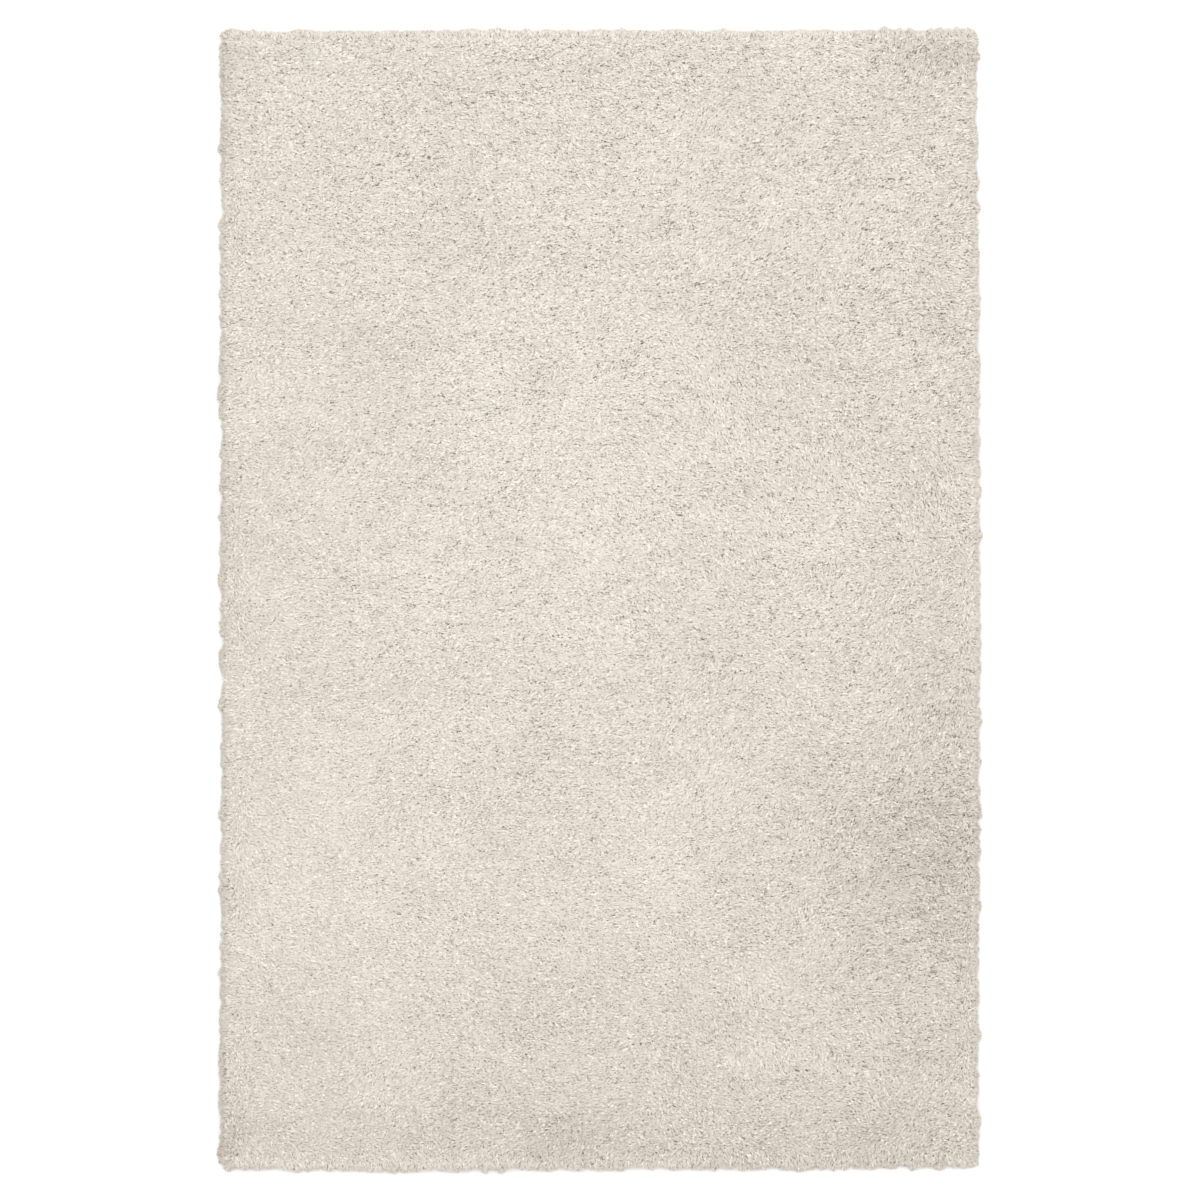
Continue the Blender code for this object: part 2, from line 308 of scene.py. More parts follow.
def bowed(x, y):
    """Moves places of the straight rectangle so that they follow its bowed sides."""
    along, across = y / LENGTH + 0.5, x / WIDTH + 0.5
    right = bow("right", along) * np.clip(x / (WIDTH / 2), 0, 1)
    left = bow("left", along) * np.clip(-x / (WIDTH / 2), 0, 1)
    far = bow("far", across) * np.clip(y / (LENGTH / 2), 0, 1)
    near = bow("near", across) * np.clip(-y / (LENGTH / 2), 0, 1)
    return x + right - left, y + far - near


def edge_lumps(x, y):
    """How far the edge stands out near each place."""
    out = 0.0
    for lump in EDGE_LUMPS:
        apart = ((x - lump["x"]) ** 2 + (y - lump["y"]) ** 2) / lump["radius"] ** 2
        out = out + lump["out"] * np.exp(-apart)
    return out


def edge_out(x, y, out_y):
    """How far the pile stands out, or lies back, at places along the edge that faces out_y."""
    stands_out = edge_lumps(x, y)
    ragged = np.where(out_y > FACES, RAGGED_FAR, 1.0)
    for k, part in enumerate(RAGGED):
        noise = smooth_noise(x + y, x - y, part["across"], NOISE["ragged"] + k)
        stands_out = stands_out + ragged * part["out"] * noise
    return stands_out


def outline():
    """Places along the rug's straight outline, in even steps, and the way out at each."""
    places, ways = [], []
    corners = (("right near", 1, -1), ("right far", 1, 1), ("left far", -1, 1), ("left near", -1, -1))
    for k, (name, sx, sy) in enumerate(corners):
        radius = CORNER_RADII[name]
        centre = np.array((sx * (WIDTH / 2 - radius), sy * (LENGTH / 2 - radius)))
        start = -math.pi / 2 + k * math.pi / 2
        count = max(3, round(radius * math.pi / 2 / ROLL_STEP))
        turns = np.linspace(start, start + math.pi / 2, count)
        arc_ways = np.stack([np.cos(turns), np.sin(turns)], 1)
        arc = centre + arc_ways * radius
        places.append(arc)
        ways.append(arc_ways)
        after, ax, ay = corners[(k + 1) % 4]
        next_radius = CORNER_RADII[after]
        next_centre = np.array((ax * (WIDTH / 2 - next_radius), ay * (LENGTH / 2 - next_radius)))
        end = next_centre + arc_ways[-1] * next_radius
        count = round(np.linalg.norm(end - arc[-1]) / ROLL_STEP)
        share = (np.arange(1, count) / count)[:, None]
        places.append(arc[-1] + (end - arc[-1]) * share)
        ways.append(np.tile(arc_ways[-1], (count - 1, 1)))
    return np.concatenate(places), np.concatenate(ways)


def edge_distance(x, y):
    """How far inside the outline each place is, and the way out from it."""
    to_x, to_y = WIDTH / 2 - np.abs(x), LENGTH / 2 - np.abs(y)
    near_x = to_x < to_y
    out = np.where(near_x, np.where(x > 0, 0.0, math.pi), np.where(y > 0, math.pi / 2, -math.pi / 2))
    return np.minimum(to_x, to_y), out


def past_corner(x, y, name, radius):
    """The corner's signs of x and y, and how far out past its arc's centre each place is."""
    sx, sy = (1 if "right" in name else -1), (1 if "far" in name else -1)
    return sx, sy, sx * x - (WIDTH / 2 - radius), sy * y - (LENGTH / 2 - radius)


def within_outline(x, y, margin):
    """Which places are at least this far inside the rounded outline."""
    keep = np.ones(len(x), bool)
    for name, radius in CORNER_RADII.items():
        _, _, past_x, past_y = past_corner(x, y, name, radius)
        at_corner = (past_x > 0) & (past_y > 0)
        keep &= ~at_corner | (np.hypot(past_x, past_y) < radius - margin)
    return keep & (np.abs(x) < WIDTH / 2 - margin) & (np.abs(y) < LENGTH / 2 - margin)


def rounded(x, y, margin):
    """Moves places outside the rounded corners onto an arc that is this far inside them."""
    smallest = 0.001
    for name, radius in CORNER_RADII.items():
        sx, sy, past_x, past_y = past_corner(x, y, name, radius)
        away = np.hypot(past_x, past_y)
        limit = max(radius - margin, smallest)
        outside = (past_x > 0) & (past_y > 0) & (away > limit)
        pull = np.where(outside, limit / np.maximum(away, TINY), 1.0)
        x, y = x + sx * past_x * (pull - 1), y + sy * past_y * (pull - 1)
    return x, y


def lean_angle(x, y):
    """The way in which the pile leans at each place, in radians from +X."""
    right = np.clip((x - SWIRL_RIGHT["from"]) / SWIRL_RIGHT["over"], 0, 1)
    near = np.clip((SWIRL_NEAR["from"] - y) / SWIRL_NEAR["over"], 0, 1)
    spread = SWIRL_LEAST + SWIRL_RIGHT["more"] * right + SWIRL_NEAR["more"] * near
    swirl = 0.0
    for k, part in enumerate(SWIRLS):
        swirl = swirl + part["turn"] * smooth_noise(x, y, part["wide"], NOISE["swirl"] + k)
    leftward = smooth_noise(x, y, LEFTWARD["wide"], NOISE["side"])
    leftward = leftward + chance.normal(0, LEFTWARD["spread"], len(x)) > LEFTWARD["limit"]
    side = np.where(leftward, math.pi, 0.0)
    angle = side + spread * swirl + chance.normal(0, TURN_SPREAD, len(x))
    # Towards the edge it leans out.
    inside, out = edge_distance(x, y)
    reach = np.where(np.sin(out) > FACES, EDGE_LEAN["far"], EDGE_LEAN["near"])
    reach = np.where(np.cos(out) > FACES, EDGE_LEAN["right"], reach)
    reach = np.where(np.cos(out) < -FACES, EDGE_LEAN["left"], reach)
    share = np.exp(-((inside / reach) ** 2))
    turn = np.arctan2(np.sin(out - angle), np.cos(out - angle))
    return angle + share * turn + share * chance.normal(0, EDGE_LEAN_SPREAD, len(x))


def painted_lean_light(x, y):
    """The painted light and shade of the leaning pile, darker or lighter in its soft patches."""
    tone = 0.0
    for patch in LEAN_LIGHT_PATCHES:
        u, v = (x - patch["x"]) / patch["across"], (y - patch["y"]) / patch["along"]
        tone = tone + patch["tone"] * np.exp(-(u * u + v * v))
    return tone


def pile_tone(x, y):
    """How much darker or lighter the pile is at each place: the painted light and shade of its lean
    and of its edges, and lumps of chance tone.
    """
    tone = painted_lean_light(x, y)
    for k, blotch in enumerate(BLOTCHES):
        noise = smooth_noise(x / blotch["stretch"], y, blotch["wide"], NOISE["blotches"] + k)
        tone = tone + blotch["tone"] * noise
    insides = {"left": x + WIDTH / 2, "right": WIDTH / 2 - x}
    insides |= {"near": y + LENGTH / 2, "far": LENGTH / 2 - y}
    for side, inside in insides.items():
        border = BORDER_LIGHTING[side]
        tone = tone + border["tone"] * np.exp(-((inside / border["reach"]) ** 2))
    return tone


def darkness(x, y):
    """How many pits and gaps of painted shade there are: more towards the far end, in the painted dark
    patches and near one place at the right, and fewer near the left side and near every edge."""
    left = np.exp(-(((x + WIDTH / 2) / LEFT_CLEAR["reach"]) ** 2))
    many = DARKNESS["middle"] + DARKNESS["right"] * x + DARKNESS["far"] * y
    many = many - LEFT_CLEAR["less"] * left - DARKNESS["patches"] * painted_lean_light(x, y)
    apart = ((x - SPECKS["x"]) ** 2 + (y - SPECKS["y"]) ** 2) / SPECKS["radius"] ** 2
    many = many + SPECKS["more"] * np.exp(-apart)
    inside, _ = edge_distance(x, y)
    edge = np.exp(-((inside / EDGE_CLEAR["reach"]) ** 2))
    many = np.maximum(many, DARKNESS["least"]) * (1 - EDGE_CLEAR["less"] * edge)
    streak = 1 + smooth_noise(x / STREAK["stretch"], y, STREAK["wide"], NOISE["streaks"])
    return many * np.maximum(streak, 0) ** 2


# ---------------------------------------------------------------- strands


# A strand has two faces. Its points are the root, the crest's right and left, and the tip.
STRAND_FACES = [(0, 1, 2), (2, 1, 3)]
# How far its sides, and its root and tip, are from the middle of its cell in the map.
MAP_SIDE, MAP_END = 0.46, 0.47
ROOT_ON_MAP, TIP_ON_MAP = (0.5, 0.5 - MAP_END), (0.5, 0.5 + MAP_END)
RIGHT_ON_MAP, LEFT_ON_MAP = (0.5 + MAP_SIDE, 0.5), (0.5 - MAP_SIDE, 0.5)
STRAND_PLACES = np.array(
    [ROOT_ON_MAP, RIGHT_ON_MAP, LEFT_ON_MAP, LEFT_ON_MAP, RIGHT_ON_MAP, TIP_ON_MAP]
)


def unit(ways):
    """The same ways, each one long."""
    return ways / np.maximum(np.linalg.norm(ways, axis=-1, keepdims=True), TINY)


def placed(name, mesh):
    """A new piece with this mesh, in the scene."""
    piece = bpy.data.objects.new(name, mesh)
    bpy.context.scene.collection.objects.link(piece)
    return piece


def joined_strands(name, points, tone, gap):
    """One mesh of many like strands. points is (strands, points of one, 3), tone the first two,
    and gap, how dark the painted shade in the gap beside each strand is, only the first."""
    n, per_strand = points.shape[:2]
    one = [i for face in STRAND_FACES for i in face]
    counts = [len(face) for face in STRAND_FACES]
    loops = (np.arange(n)[:, None] * per_strand + np.array(one)).ravel()
    starts = np.concatenate(([0], np.cumsum(np.tile(counts, n))[:-1]))

    mesh = bpy.data.meshes.new(name)
    mesh.vertices.add(n * per_strand)
    mesh.vertices.foreach_set("co", points.astype(np.float32).ravel())
    mesh.loops.add(len(loops))
    mesh.loops.foreach_set("vertex_index", loops.astype(np.int32))
    mesh.polygons.add(len(starts))
    mesh.polygons.foreach_set("loop_start", starts.astype(np.int32))
    mesh.update(calc_edges=True)
    mesh.validate()
    mesh.polygons.foreach_set("use_smooth", np.ones(len(starts), bool))

    # One small cell of the map for each strand.
    across = math.ceil(math.sqrt(n))
    cell = np.stack([np.arange(n) % across, np.arange(n) // across], 1) / across
    uv = cell[:, None, :] + STRAND_PLACES[None] / across
    mesh.uv_layers.new(name="OFBake").uv.foreach_set("vector", uv.astype(np.float32).ravel())
    mesh.uv_layers.new(name="strand").uv.foreach_set(
        "vector", np.tile(STRAND_PLACES, (n, 1)).astype(np.float32).ravel()
    )
    mesh.attributes.new("tone", "FLOAT", "POINT").data.foreach_set(
        "value", tone.astype(np.float32).ravel()
    )
    mesh.attributes.new("gap", "FLOAT", "POINT").data.foreach_set(
        "value", np.repeat(gap, per_strand).astype(np.float32)
    )
    return placed(name, mesh)


def pit_sizes(pit):
    """How wide and how long each strand is for its usual size, which is less in a pit."""
    wide = np.where(pit, chance.uniform(*PIT_WIDTH, len(pit)), 1.0)
    long = np.where(pit, chance.uniform(*PIT_LENGTH, len(pit)), 1.0)
    return wide, long


def strand_tones(own):
    """The tones of each strand's four points, from its own tone, with painted shade at its root and
    tip, which lie deeper.
    """
    return np.clip(np.stack([own + ROOT_SHADE, own, own, own + TIP_SHADE], 1), *TONE_RANGE)


def gaps(x, y):
    """How dark the painted shade in the gap beside each strand is: 0 for most."""
    dark = chance.random(len(x)) < GAP_SHARE * darkness(x, y) ** 0.5
    return dark * chance.uniform(*GAP_SHADE, len(x))


# ---------------------------------------------------------------- materials


def calculate(nodes, links, operation, first, second=0.0, third=0.0):
    """One step of arithmetic on sockets and numbers."""
    node = nodes.new("ShaderNodeMath")
    node.operation = operation
    for socket, value in zip(node.inputs, (first, second, third)):
        if isinstance(value, (int, float)):
            socket.default_value = value
        else:
            links.new(value, socket)
    return node.outputs[0]


def gap_shade_line(nodes, links):
    """The painted shade along the left side of a strand, where it is next to a gap: how much darker
    the yarn is there.
    """
    place = nodes.new("ShaderNodeUVMap")
    place.uv_map = "strand"
    split = nodes.new("ShaderNodeSeparateXYZ")
    links.new(place.outputs["UV"], split.inputs[0])
    beyond = calculate(nodes, links, "SUBTRACT", split.outputs["Y"], 0.5)
    from_crest = calculate(nodes, links, "ABSOLUTE", beyond)
    # The strand narrows to its ends. The small addition keeps its half width there above 0.
    half = calculate(nodes, links, "MULTIPLY_ADD", from_crest, -MAP_SIDE / MAP_END, MAP_SIDE + 0.001)
    leftward = calculate(nodes, links, "SUBTRACT", 0.5, split.outputs["X"])
    aside = calculate(nodes, links, "DIVIDE", leftward, half)
    line = nodes.new("ShaderNodeMapRange")
    line.inputs["From Min"].default_value = GAP_FROM
    line.inputs["From Max"].default_value = GAP_TO
    links.new(aside, line.inputs["Value"])
    fade = nodes.new("ShaderNodeMapRange")
    fade.inputs["From Min"].default_value, fade.inputs["From Max"].default_value = GAP_FADE
    fade.inputs["To Min"].default_value = 1.0
    fade.inputs["To Max"].default_value = 0.0
    links.new(from_crest, fade.inputs["Value"])
    gap = nodes.new("ShaderNodeAttribute")
    gap.attribute_name = "gap"
    dark = calculate(nodes, links, "MULTIPLY", line.outputs["Result"], gap.outputs["Fac"])
    return calculate(nodes, links, "MULTIPLY", dark, fade.outputs["Result"])


def pile_material(name, fleck_shade, fibre, strands):
    """Off-white yarn: its tone from the mesh, with dark flecks of painted shade between the fibres and
    their bump, and a dark line of painted shade beside each strand that is next to a gap, where there
    are strands."""
    material = bpy.data.materials.new(name)
    material.use_nodes = True
    nodes, links = material.node_tree.nodes, material.node_tree.links
    shader = nodes["Principled BSDF"]
    shader.inputs["Roughness"].default_value = 0.9
    shader.inputs["Specular IOR Level"].default_value = 0.15
    shader.inputs["Sheen Weight"].default_value = 0.25
    shader.inputs["Sheen Roughness"].default_value = 0.5

    # Places on the rug, bent a little so that the streaks wander, and stretched along them.
    place = nodes.new("ShaderNodeTexCoord")
    bend = nodes.new("ShaderNodeTexNoise")
    bend.inputs["Scale"].default_value = 14
    links.new(place.outputs["Object"], bend.inputs["Vector"])
    moved = nodes.new("ShaderNodeVectorMath")
    moved.operation = "MULTIPLY_ADD"
    moved.inputs[1].default_value = (0.03, 0.03, 0.0)
    links.new(bend.outputs["Color"], moved.inputs[0])
    links.new(place.outputs["Object"], moved.inputs[2])
    stretch = nodes.new("ShaderNodeMapping")
    stretch.inputs["Scale"].default_value = (0.5, 1, 1)
    links.new(moved.outputs[0], stretch.inputs["Vector"])
    streaks = nodes.new("ShaderNodeTexNoise")
    streaks.inputs["Scale"].default_value = 330
    streaks.inputs["Detail"].default_value = 1
    links.new(stretch.outputs[0], streaks.inputs["Vector"])

    # Flecks of painted shade between the fibres: the lowest values only.
    flecks = nodes.new("ShaderNodeMapRange")
    flecks.inputs["From Min"].default_value = 0.30
    flecks.inputs["From Max"].default_value = 0.43
    flecks.inputs["To Min"].default_value = fleck_shade
    flecks.inputs["To Max"].default_value = 0.0
    links.new(streaks.outputs["Fac"], flecks.inputs["Value"])
    tone = nodes.new("ShaderNodeAttribute")
    tone.attribute_name = "tone"
    shaded = calculate(nodes, links, "ADD", tone.outputs["Fac"], flecks.outputs["Result"])
    if strands:
        shaded = calculate(nodes, links, "SUBTRACT", shaded, gap_shade_line(nodes, links))
    ramp = nodes.new("ShaderNodeValToRGB")
    ramp.color_ramp.elements[0].color = (0.12, 0.095, 0.070, 1)
    ramp.color_ramp.elements.new(ZERO_TONE).color = (0.34, 0.285, 0.22, 1)
    ramp.color_ramp.elements[2].color = (0.98, 0.921, 0.842, 1)
    on_ramp = calculate(nodes, links, "MULTIPLY_ADD", shaded, 1 - ZERO_TONE, ZERO_TONE)
    links.new(on_ramp, ramp.inputs["Fac"])
    links.new(ramp.outputs["Color"], shader.inputs["Base Color"])

    bump = nodes.new("ShaderNodeBump")
    bump.inputs["Strength"].default_value = 0.6
    bump.inputs["Distance"].default_value = fibre
    links.new(streaks.outputs["Fac"], bump.inputs["Height"])
    links.new(bump.outputs["Normal"], shader.inputs["Normal"])
    return material


def weave_material():
    """Plain woven cloth: threads one way over threads the other way, in two close tones."""
    material = bpy.data.materials.new("ground_weave")
    material.use_nodes = True
    nodes, links = material.node_tree.nodes, material.node_tree.links
    shader = nodes["Principled BSDF"]
    shader.inputs["Roughness"].default_value = 0.95
    place = nodes.new("ShaderNodeTexCoord")
    threads = []
    for way in ("X", "Y"):
        wave = nodes.new("ShaderNodeTexWave")
        wave.bands_direction = way
        wave.inputs["Scale"].default_value = 110
        wave.inputs["Distortion"].default_value = 0.6
        links.new(place.outputs["Object"], wave.inputs["Vector"])
        threads.append(wave.outputs["Fac"])
    woven = calculate(nodes, links, "MAXIMUM", *threads)
    ramp = nodes.new("ShaderNodeValToRGB")
    ramp.color_ramp.elements[0].color = (0.36, 0.31, 0.25, 1)
    ramp.color_ramp.elements[1].color = (0.74, 0.69, 0.60, 1)
    links.new(woven, ramp.inputs["Fac"])
    links.new(ramp.outputs["Color"], shader.inputs["Base Color"])
    bump = nodes.new("ShaderNodeBump")
    bump.inputs["Strength"].default_value = 0.5
    bump.inputs["Distance"].default_value = 0.0005
    links.new(woven, bump.inputs["Height"])
    links.new(bump.outputs["Normal"], shader.inputs["Normal"])
    return material


def floor_material():
    """The pale, matt floor that the rug lies on."""
    material = bpy.data.materials.new("pale_floor")
    material.use_nodes = True
    shader = material.node_tree.nodes["Principled BSDF"]
    shader.inputs["Base Color"].default_value = (0.96, 0.96, 0.96, 1)
    shader.inputs["Roughness"].default_value = 0.95
    return material


# ---------------------------------------------------------------- the pile


def spread_places(count):
    """Places spread evenly over the rug, each moved a little at random."""
    pitch = math.sqrt(WIDTH * LENGTH / count)
    nx, ny = round(WIDTH / pitch), round(LENGTH / pitch)
    i, j = np.meshgrid(np.arange(nx), np.arange(ny), indexing="ij")
    x = (i + 0.5 + 0.5 * (j % 2) - 0.25) / nx * WIDTH - WIDTH / 2
    y = (j + 0.5) / ny * LENGTH - LENGTH / 2
    x = x.ravel() + chance.uniform(-PLACE_SPREAD, PLACE_SPREAD, nx * ny) * pitch
    y = y.ravel() + chance.uniform(-PLACE_SPREAD, PLACE_SPREAD, nx * ny) * pitch
    return x, y


def field_pile():
    """The upright pile on the solid's top, in strips from the near end to the far end."""
    x, y = spread_places(STRANDS)
    inside = within_outline(x, y, ROLL_WIDTH + ROLL_INSIDE - RIM_OVERLAP)
    x, y = x[inside], y[inside]
    n = len(x)
    top = top_height(x, y)
    angle = lean_angle(x, y)
    way = np.stack([np.cos(angle), np.sin(angle), np.zeros(n)], 1)
    turn = angle + chance.normal(0, TIP_TURN_SPREAD, n)
    onward = np.stack([np.cos(turn), np.sin(turn), np.zeros(n)], 1)
    aside = np.stack([-way[:, 1], way[:, 0], chance.normal(0, TILT_SPREAD, n)], 1)
    # Pits: small strands painted dark and lifted a little, as painted shade where the pile opens.
    pit = chance.random(n) < PIT_SHARE * darkness(x, y)
    # A share of the strands, not in pits, is painted lighter: painted highlight.
    light = ~pit & (chance.random(n) < HIGHLIGHT_SHARE)
    level = top - chance.uniform(0.0, CREST_SPREAD, n) * ~(pit | light) + PIT_RISE * pit
    wide, long = pit_sizes(pit)
    rise, end = long * chance.uniform(*RISE_OUT, n), long * chance.uniform(*END_OUT, n)
    crest = np.stack([x, y, level], 1)
    root = crest - way * rise[:, None]
    root[:, 2] = top - ROOT_DEPTH
    tip = crest + onward * end[:, None]
    tip[:, 2] = level - chance.uniform(*TIP_DROP, n)
    half = aside * (wide * chance.uniform(*YARN_WIDTH, n))[:, None] / 2
    points = np.stack([root, crest - half, crest + half, tip], 1)
    points[..., 0], points[..., 1] = bowed(points[..., 0], points[..., 1])
    # Each strand's own tone, with the painted light and shade of the pile's lean and of its edges.
    own = OWN_TONE + pile_tone(x, y) + chance.normal(0, TONE_SPREAD, n)
    own = own + pit * chance.uniform(*PIT_SHADE, n) + light * chance.uniform(*HIGHLIGHT_TONE, n)
    tone, gap = strand_tones(own), gaps(x, y)
    strip = np.clip(((y / LENGTH + 0.5) * PIECES).astype(int), 0, PIECES - 1)
    return [
        joined_strands(f"pile_{k + 1}", points[strip == k], tone[strip == k], gap[strip == k])
        for k in range(PIECES)
    ]


def roll_section(height):
    """Turns round the roll's section, a quarter of an ellipse, and the share of its length at each."""
    turns = np.linspace(0, math.pi / 2, 50)
    lengths = np.cumsum(np.hypot(ROLL_WIDTH * np.cos(turns), height * np.sin(turns)))
    return turns, (lengths - lengths[0]) / (lengths[-1] - lengths[0])


def rim_row(row, edge, out, top, stands_out):
    """One row of strands all round the roll: their points, their tones and their gaps."""
    n = len(edge)
    x, y = edge[:, 0], edge[:, 1]
    aside = np.stack([-out[:, 1], out[:, 0]], 1)
    # Where the strand bends over: 0 at the top of the roll, a quarter turn at the floor.
    turns, lengths = roll_section(top.mean())
    turn = np.interp((row + chance.random(n)) / ROLL_ROWS, lengths, turns)
    follows = ROLL_FOLLOWS + (1 - ROLL_FOLLOWS) * np.sin(turn)
    outward = ROLL_WIDTH * np.sin(turn) - ROLL_WIDTH - ROLL_INSIDE
    outward = outward + follows * stands_out + chance.normal(0, ROLL_SPREAD, n)
    height = top * np.cos(turn) - chance.uniform(0, CREST_SPREAD, n)
    ahead = unit(np.stack([ROLL_WIDTH * np.cos(turn), -ROLL_LIFT * top * np.sin(turn)], 1))
    over = np.stack([-ahead[:, 1], ahead[:, 0]], 1)
    crest = np.stack([outward, height], 1)
    root = crest - ROLL_ROOT["behind"] * ahead - ROLL_ROOT["under"] * over
    pit = chance.random(n) < PIT_SHARE
    wide, long = pit_sizes(pit)
    length = (long * chance.uniform(*ROLL_LENGTH, n))[:, None]
    tip = crest + length * ahead - chance.uniform(*ROLL_DROP, n)[:, None] * over
    shift = chance.uniform(-0.5, 0.5, n) * ROLL_STEP
    swing = chance.normal(0, ROLL_SWING, n)
    stations = []
    for place, along in ((root, shift), (crest, shift), (tip, shift + swing)):
        flat = edge + out * place[:, :1] + aside * along[:, None]
        stations.append(np.column_stack([flat, place[:, 1]]))
    root, crest, tip = stations
    tip[:, 2] = np.maximum(tip[:, 2], chance.uniform(*LOWEST_TIP, n))
    half = (wide * chance.uniform(*YARN_WIDTH, n))[:, None] / 2
    half = half * np.column_stack([aside, chance.normal(0, ROLL_TILT, n)])
    points = np.stack([root, crest - half, crest + half, tip], 1)
    points[..., 2] = np.maximum(points[..., 2], LOWEST)
    # The roll's tone: painted light and shade of the lean and the edges, and painted shade on the
    # roll, in its pits and on its lowest strands near the floor.
    own = OWN_TONE + ROLL_SHADE + pile_tone(x, y) + chance.normal(0, ROLL_TONE_SPREAD, n)
    own = own + pit * chance.uniform(*PIT_SHADE, n)
    own = own + np.sin(turn) ** FOOT_POWER * chance.uniform(*FOOT_SHADE, n)
    return points, strand_tones(own), gaps(x, y)


def rim_pile():
    """Strands over the roll of the pile at the rim, from its top down to the floor."""
    edge, out = outline()
    inner = edge - out * (ROLL_WIDTH + ROLL_INSIDE)
    top = top_height(inner[:, 0], inner[:, 1])
    stands_out = edge_out(edge[:, 0], edge[:, 1], out[:, 1])
    rows = [rim_row(row, edge, out, top, stands_out) for row in range(ROLL_ROWS)]
    points, tone, gap = (np.concatenate(parts) for parts in zip(*rows))
    points[..., 0], points[..., 1] = bowed(points[..., 0], points[..., 1])
    return joined_strands("rim_pile", points, tone, gap)


def pile_bed():
    """The lower, matted part of the pile: a lumpy mass just under the crests, down to the floor."""
    lines = []
    for size in (WIDTH, LENGTH):
        half = size / 2 - BED_INSIDE
        count = round(2 * half / BED_PITCH)
        inner = np.linspace(-half, half, count + 1)
        skirt = half + np.array([drop["out"] for drop in BED_SKIRT])
        lines.append(np.concatenate([-skirt[::-1], inner, skirt]))
    across, along = lines
    x, y = (a.ravel() for a in np.meshgrid(across, along, indexing="ij"))
    lumps = BED_LUMPS["high"] * smooth_noise(x, y, BED_LUMPS["wide"], NOISE["bed"])
    z = top_height(x, y) - BED_DEPTH + lumps
    # The skirt keeps behind the strands, so it follows the lowest place of the edge near it.
    beside = np.linspace(-BED_BESIDE, BED_BESIDE, 9)[:, None]
    edge_x = np.clip(edge_out(np.sign(x) * WIDTH / 2, y + beside, 0.0).min(0), *BED_FOLLOWS)
    edge_y = np.clip(edge_out(x + beside, np.sign(y) * LENGTH / 2, np.sign(y)).min(0), *BED_FOLLOWS)
    follow_x, follow_y = np.zeros(len(x)), np.zeros(len(y))
    for drop in BED_SKIRT:
        past_x = np.abs(x) > WIDTH / 2 - BED_INSIDE + drop["out"] - TINY
        past_y = np.abs(y) > LENGTH / 2 - BED_INSIDE + drop["out"] - TINY
        z[past_x | past_y] = drop["height"]
        follow_x[past_x], follow_y[past_y] = drop["follow"], drop["follow"]
    nx, ny = len(across) - 1, len(along) - 1
    i, j = (a.ravel() for a in np.meshgrid(np.arange(nx), np.arange(ny), indexing="ij"))
    first = i * (ny + 1) + j
    faces = np.stack([first, first + ny + 1, first + ny + 2, first + 1], 1)
    uv = np.stack([x + WIDTH / 2, y + LENGTH / 2], 1) / LENGTH
    # The bed is painted darker than the crests, as painted shade under them.
    tone = SHADED_BED_TONE + pile_tone(x, y)
    x, y = x + np.sign(x) * follow_x * edge_x, y + np.sign(y) * follow_y * edge_y
    x, y = bowed(*rounded(x, y, BED_CORNER))
    mesh = bpy.data.meshes.new("pile_bed")
    mesh.from_pydata(np.stack([x, y, z], 1).tolist(), [], faces.tolist())
    mesh.shade_smooth()
    uv = uv[faces.ravel()].astype(np.float32)
    mesh.uv_layers.new(name="OFBake").uv.foreach_set("vector", uv.ravel())
    mesh.attributes.new("tone", "FLOAT", "POINT").data.foreach_set("value", tone.astype(np.float32))
    return placed("pile_bed", mesh)


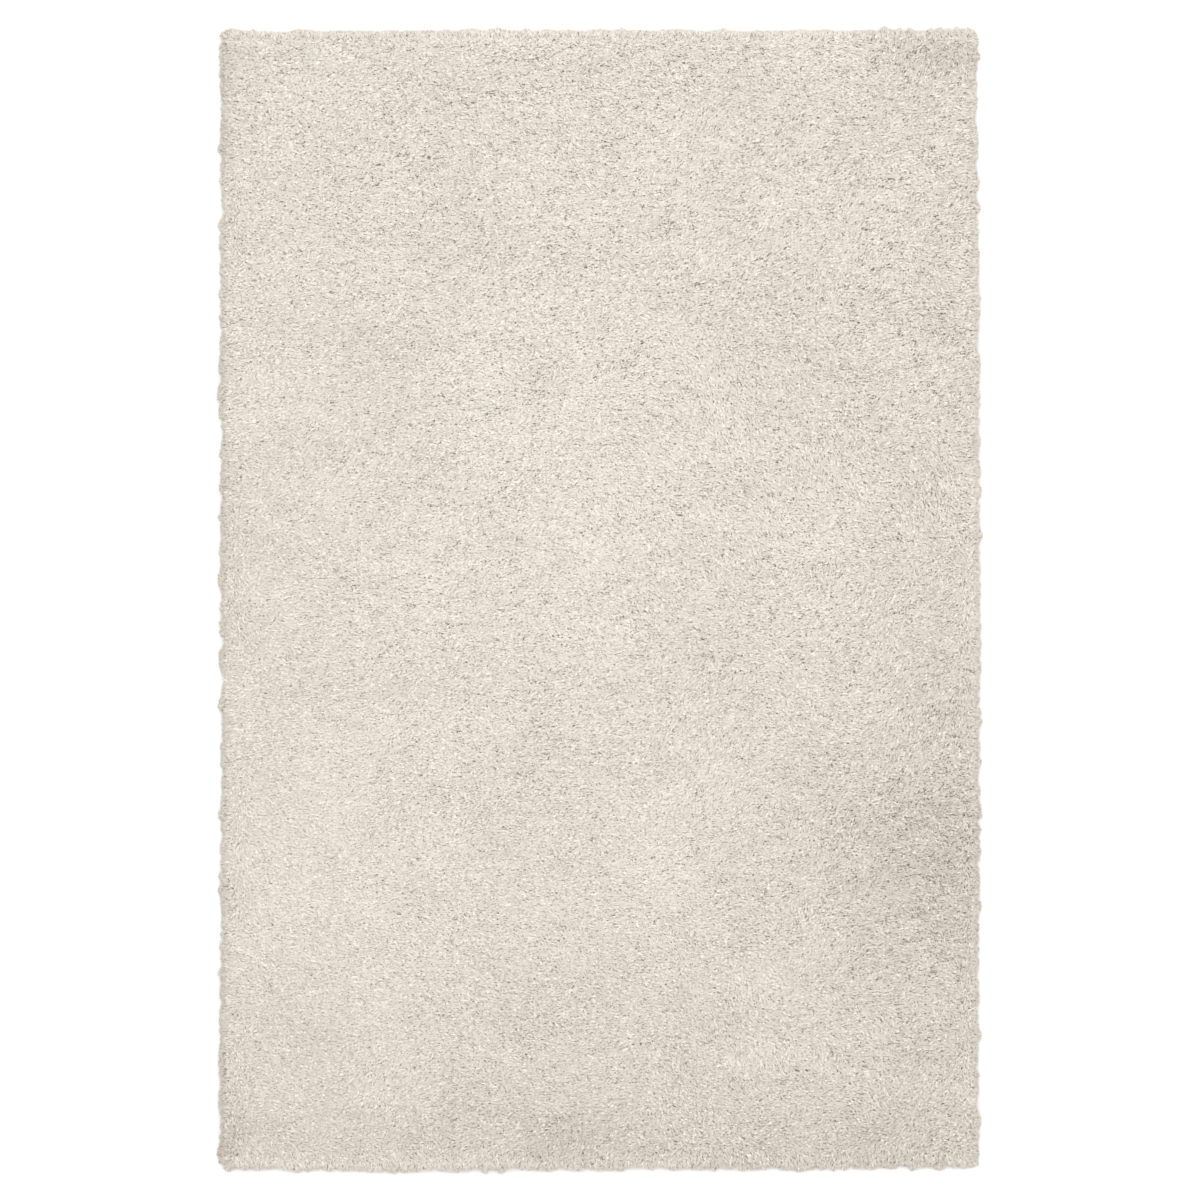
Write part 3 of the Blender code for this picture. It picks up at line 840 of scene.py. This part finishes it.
def ground_cloth():
    """The thin cloth that the tufts are sewn through: flat below, a little uneven above."""
    nx, ny = CLOTH_GRID
    i, j = np.meshgrid(np.arange(nx + 1), np.arange(ny + 1), indexing="ij")
    x = (i / nx - 0.5) * (WIDTH - 2 * CLOTH_INSIDE)
    y = (j / ny - 0.5) * (LENGTH - 2 * CLOTH_INSIDE)
    x, y = (a.ravel() for a in bowed(x, y))
    z = CLOTH_THICK + CLOTH_LUMPS["high"] * smooth_noise(x, y, CLOTH_LUMPS["wide"], NOISE["cloth"])
    k = i * (ny + 1) + j
    first, second = k[:-1, :-1].ravel(), k[1:, :-1].ravel()
    third, fourth = k[1:, 1:].ravel(), k[:-1, 1:].ravel()
    above = np.stack([first, second, third, fourth], 1)
    below = above[:, ::-1] + len(x)
    rim = np.concatenate([k[:-1, 0], k[-1, :-1], k[:0:-1, -1], k[0, :0:-1]])
    after = np.roll(rim, -1)
    sides = np.stack([rim, rim + len(x), after + len(x), after], 1)
    points = np.concatenate([np.stack([x, y, z], 1), np.stack([x, y, 0 * z], 1)])
    mesh = bpy.data.meshes.new("ground_cloth")
    mesh.from_pydata(points.tolist(), [], np.concatenate([above, below, sides]).tolist())
    return placed("ground_cloth", mesh)


pile = field_pile()
rim = rim_pile()
bed = pile_bed()
cloth = ground_cloth()
yarn = pile_material("off_white_yarn", fleck_shade=-0.30, fibre=0.0004, strands=True)
matted_yarn = pile_material("matted_yarn", fleck_shade=-0.40, fibre=0.0012, strands=False)
for piece in [*pile, rim]:
    piece.data.materials.append(yarn)
bed.data.materials.append(matted_yarn)
cloth.data.materials.append(weave_material())
for piece in [*pile, rim, bed, cloth]:
    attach(piece, "root")
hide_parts("shag_rug")


# ---------------------------------------------------------------- the stage


def studio():
    """A pale floor, an even white world and one large soft light from high up."""
    bpy.ops.mesh.primitive_plane_add(size=FLOOR_SIZE, location=(0, 0, 0))
    floor = bpy.context.object
    floor.name = "floor"
    floor.data.materials.append(floor_material())
    world = bpy.data.worlds.new("studio")
    bpy.context.scene.world = world
    world.use_nodes = True
    world.node_tree.nodes["Background"].inputs["Color"].default_value = (1, 1, 1, 1)
    world.node_tree.nodes["Background"].inputs["Strength"].default_value = WORLD_LIGHT
    light = bpy.data.lights.new("key", "AREA")
    light.shape = "SQUARE"
    light.size = KEY_SIZE
    light.energy = KEY_LIGHT
    key = bpy.data.objects.new("key", light)
    key.location = KEY_PLACE
    key.rotation_euler = (Vector((0, 0, 0)) - key.location).to_track_quat("-Z", "Y").to_euler()
    bpy.context.scene.collection.objects.link(key)


def camera():
    """Straight above the rug, with a long lens."""
    data = bpy.data.cameras.new("camera")
    cam = bpy.data.objects.new("camera", data)
    bpy.context.scene.collection.objects.link(cam)
    cam.location = CAMERA_PLACE
    picture_width = WIDTH / RUG_PIXELS * PICTURE_PIXELS
    data.sensor_width = SENSOR_WIDTH
    data.lens = SENSOR_WIDTH * (CAMERA_PLACE[2] - TIPS_HEIGHT) / picture_width
    data.clip_end = 100
    bpy.context.scene.camera = cam


studio()
camera()
bpy.context.scene.view_settings.view_transform = "Standard"
